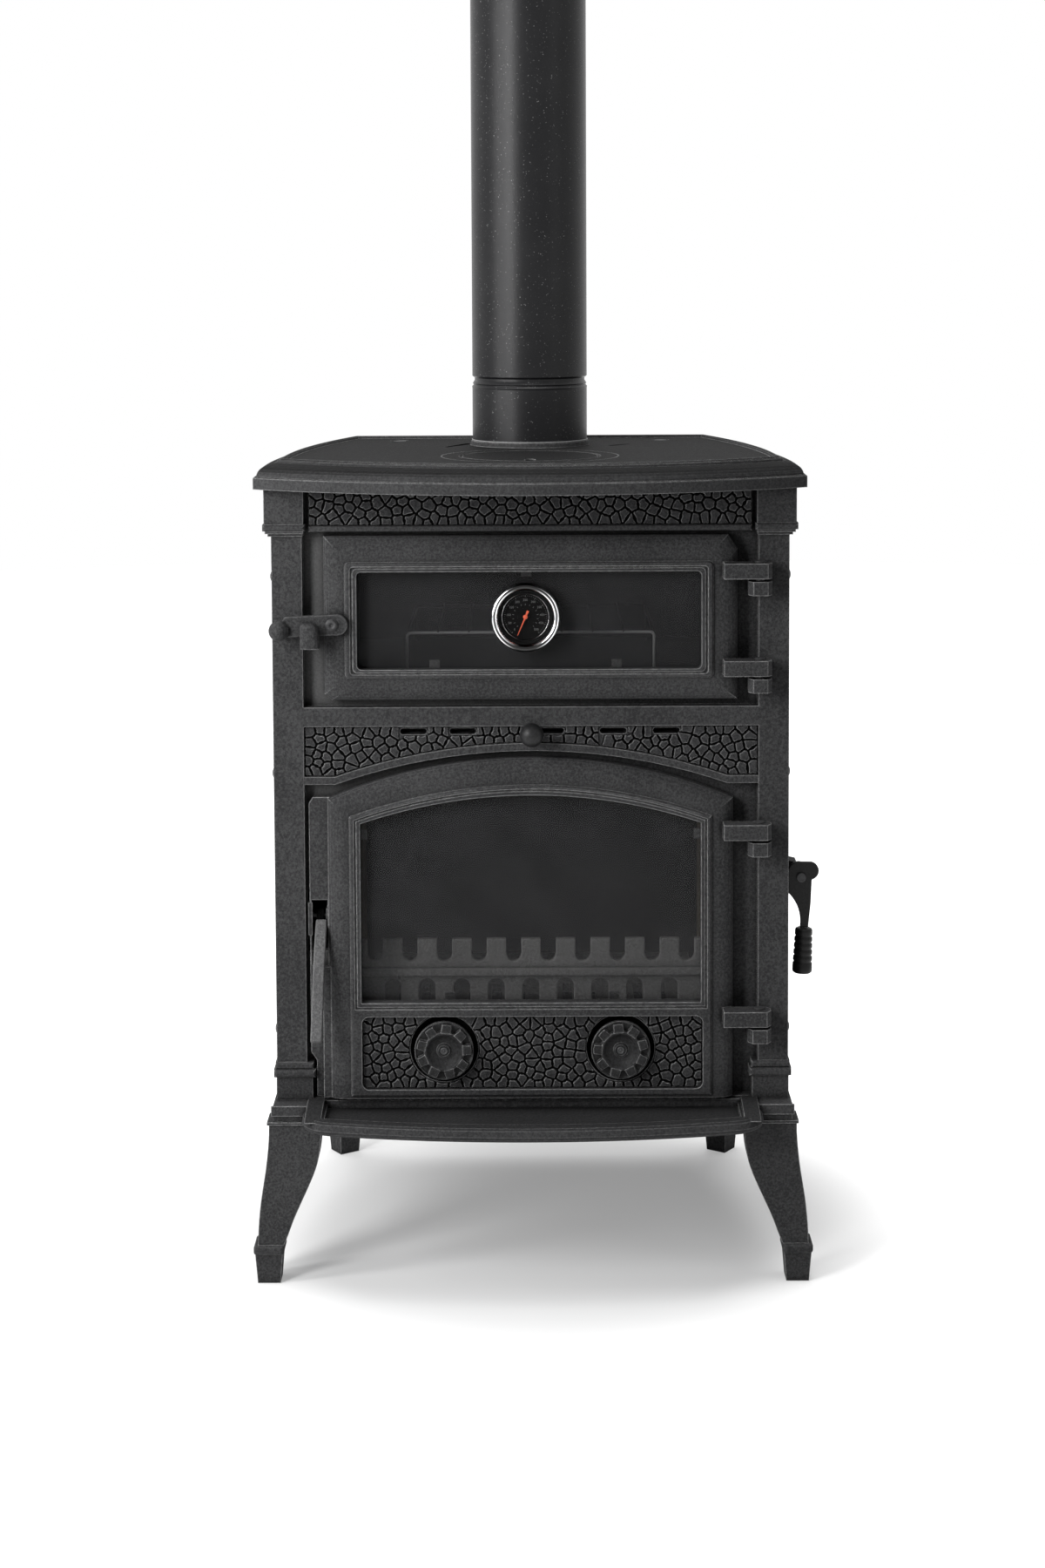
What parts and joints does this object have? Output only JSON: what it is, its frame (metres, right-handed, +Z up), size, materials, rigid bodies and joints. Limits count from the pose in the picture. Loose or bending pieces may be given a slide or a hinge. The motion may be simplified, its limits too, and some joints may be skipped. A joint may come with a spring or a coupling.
{
  "type": "cast iron range cooker",
  "caption": "Small free-standing cast iron cooker on curved legs: oven with a dial thermometer over an arched firebox window, spin valves, side feed door, lift-out hob lid and flue pipe.",
  "frame": {"origin": "on the floor, in the middle of the whole part's width and depth", "axes": "+Z up along the flue pipe, +X to the right and +Y to the back as seen from the front"},
  "size_m": [0.556, 0.4746, 1.3065],
  "materials": {
    "cast_iron": "matt black stove paint over sand-cast iron",
    "furnace_iron": "bare, sooty cast iron",
    "flue_steel": "matt black enamelled steel",
    "oven_steel": "dark heat-blued steel sheet",
    "rack_steel": "bright wire",
    "firebrick": "pressed vermiculite board",
    "fasteners": "blackened steel",
    "window_glass": "clear ceramic glass, a little smoked",
    "rope_seal": "woven black fibre rope",
    "knob_steel": "satin black steel",
    "thermometer_case": "polished chrome",
    "dial": "matt black dial with pale marks",
    "needle": "orange-red painted pointer",
    "lens": "clear cover glass"
  },
  "bodies": {
    "stove": {"top_plate": "cast_iron", "front_frame": "cast_iron", "hinge_knuckles": "cast_iron", "latch_keeper": "cast_iron", "side_panel_left": "cast_iron", "side_panel_right": "cast_iron", "back_panel": "cast_iron", "base_plate": "cast_iron", "hearth": "cast_iron", "leg_front_left": "cast_iron", "leg_front_right": "cast_iron", "leg_rear_left": "cast_iron", "leg_rear_right": "cast_iron", "flue_collar": "cast_iron", "flue_pipe": "flue_steel", "oven_box": "oven_steel", "baffle_plate": "furnace_iron", "firebrick_left": "firebrick", "firebrick_right": "firebrick", "firebrick_back": "firebrick", "grate_frame": "furnace_iron", "fire_grate": "furnace_iron", "log_guard": "furnace_iron", "tie_rods": "fasteners", "side_bolts": "fasteners", "airwash_guides": "oven_steel", "side_hinge_lugs": "cast_iron"},
    "hob_lid": {"hob_lid": "cast_iron"},
    "oven_rack": {"oven_rack": "rack_steel"},
    "ash_pan": {"ash_pan": "oven_steel"},
    "airwash": {"airwash_slider": "oven_steel", "airwash_knob": "knob_steel"},
    "oven_door": {"oven_door": "cast_iron", "oven_glass": "window_glass", "oven_glass_clips": "fasteners", "oven_door_seal": "rope_seal", "oven_hinge_pins": "fasteners", "oven_latch_screw": "fasteners", "thermometer_case": "thermometer_case", "thermometer_bezel": "thermometer_case", "thermometer_dial": "dial", "thermometer_lens": "lens"},
    "oven_latch": {"oven_latch": "cast_iron"},
    "thermometer_needle": {"thermometer_needle": "needle"},
    "fire_door": {"fire_door": "cast_iron", "fire_glass": "window_glass", "fire_glass_clips": "fasteners", "fire_door_seal": "rope_seal", "fire_hinge_pins": "fasteners", "fire_lever_pin": "fasteners"},
    "fire_lever": {"fire_lever": "cast_iron"},
    "air_stud_left": {"air_stud_left": "fasteners"},
    "air_stud_right": {"air_stud_right": "fasteners"},
    "air_knob_left": {"air_knob_left": "cast_iron"},
    "air_knob_right": {"air_knob_right": "cast_iron"},
    "side_door": {"side_door": "cast_iron", "side_door_pins": "fasteners"},
    "side_lever": {"side_lever": "cast_iron", "side_grip": "knob_steel"}
  },
  "joints": [
    {"name": "lid_lift", "type": "slide", "parent": "stove", "child": "hob_lid", "axis": [0, 0, 1], "range_m": [0, 0.06]},
    {"name": "oven_door_swing", "type": "hinge", "parent": "stove", "child": "oven_door", "pos_m": [0.22, -0.1625, 0.65], "axis": [0, 0, 1], "range_deg": [0, 110]},
    {"name": "oven_latch_lift", "type": "hinge", "parent": "oven_door", "child": "oven_latch", "pos_m": [-0.1908, -0.1635, 0.6467], "axis": [0, 1, 0], "range_deg": [0, 35]},
    {"name": "thermometer_needle_turn", "type": "hinge", "parent": "oven_door", "child": "thermometer_needle", "pos_m": [-0.005, -0.1579, 0.6524], "axis": [0, 1, 0], "range_deg": [0, 290]},
    {"name": "oven_rack_slide", "type": "slide", "parent": "stove", "child": "oven_rack", "axis": [0, -1, 0], "range_m": [0, 0.15]},
    {"name": "fire_door_swing", "type": "hinge", "parent": "stove", "child": "fire_door", "pos_m": [0.22, -0.1625, 0.34], "axis": [0, 0, 1], "range_deg": [0, 110]},
    {"name": "fire_lever_pull", "type": "hinge", "parent": "fire_door", "child": "fire_lever", "pos_m": [-0.2066, -0.136, 0.357], "axis": [-1, 0, 0], "range_deg": [0, 30]},
    {"name": "ash_pan_slide", "type": "slide", "parent": "stove", "child": "ash_pan", "axis": [0, -1, 0], "range_m": [0, 0.18]},
    {"name": "air_left_travel", "type": "slide", "parent": "fire_door", "child": "air_stud_left", "axis": [0, -1, 0], "range_m": [0, 0.006]},
    {"name": "air_left_turn", "type": "hinge", "parent": "air_stud_left", "child": "air_knob_left", "pos_m": [-0.0858, -0.164, 0.2293], "axis": [0, -1, 0], "range_deg": [0, 1080]},
    {"name": "air_right_travel", "type": "slide", "parent": "fire_door", "child": "air_stud_right", "axis": [0, -1, 0], "range_m": [0, 0.006]},
    {"name": "air_right_turn", "type": "hinge", "parent": "air_stud_right", "child": "air_knob_right", "pos_m": [0.0858, -0.164, 0.2293], "axis": [0, -1, 0], "range_deg": [0, 1080]},
    {"name": "airwash_slide", "type": "slide", "parent": "stove", "child": "airwash", "axis": [1, 0, 0], "range_m": [0, 0.025]},
    {"name": "side_door_swing", "type": "hinge", "parent": "stove", "child": "side_door", "pos_m": [0.2325, 0.123, 0.372], "axis": [0, 0, 1], "range_deg": [0, 100]},
    {"name": "side_lever_lift", "type": "hinge", "parent": "side_door", "child": "side_lever", "pos_m": [0.266, -0.1075, 0.386], "axis": [0, -1, 0], "range_deg": [0, 70]}
  ],
  "couplings": [
    {"joint": "oven_rack_slide", "follows": "oven_door_swing", "m_per_rad": 0.078},
    {"joint": "ash_pan_slide", "follows": "fire_door_swing", "m_per_rad": 0.0935},
    {"joint": "air_left_travel", "follows": "air_left_turn", "m_per_rad": 0.000318},
    {"joint": "air_right_travel", "follows": "air_right_turn", "m_per_rad": 0.000318}
  ]
}
